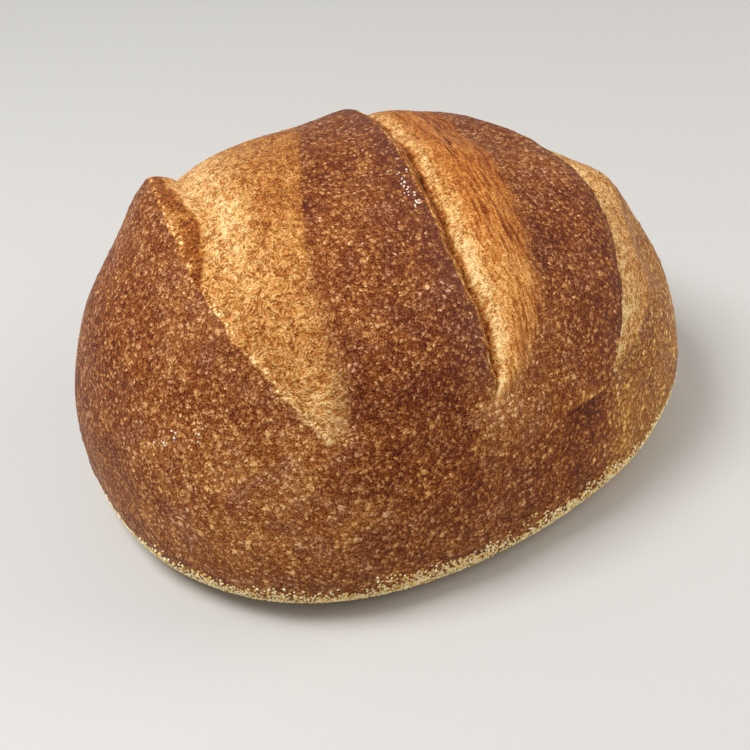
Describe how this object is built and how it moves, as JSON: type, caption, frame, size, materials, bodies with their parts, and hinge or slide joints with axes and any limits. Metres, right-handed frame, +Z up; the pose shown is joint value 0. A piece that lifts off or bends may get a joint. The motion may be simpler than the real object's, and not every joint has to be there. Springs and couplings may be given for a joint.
{
  "type": "sourdough loaf",
  "caption": "Oval sourdough loaf with a domed browned crust, a flat base, and scores across its top that opened into raised ears and pale torn grooves.",
  "frame": {"origin": "on the surface that the loaf rests on, under the middle of its bounding box", "axes": "+X along the loaf, with the scores crossing it; +Z up, from the flat base to the crown; -Y the front"},
  "size_m": [0.2272, 0.1736, 0.1212],
  "materials": {
    "crust": "browned bread crust, satin and blistered"
  },
  "bodies": {
    "root": {"loaf": "crust"}
  },
  "joints": []
}
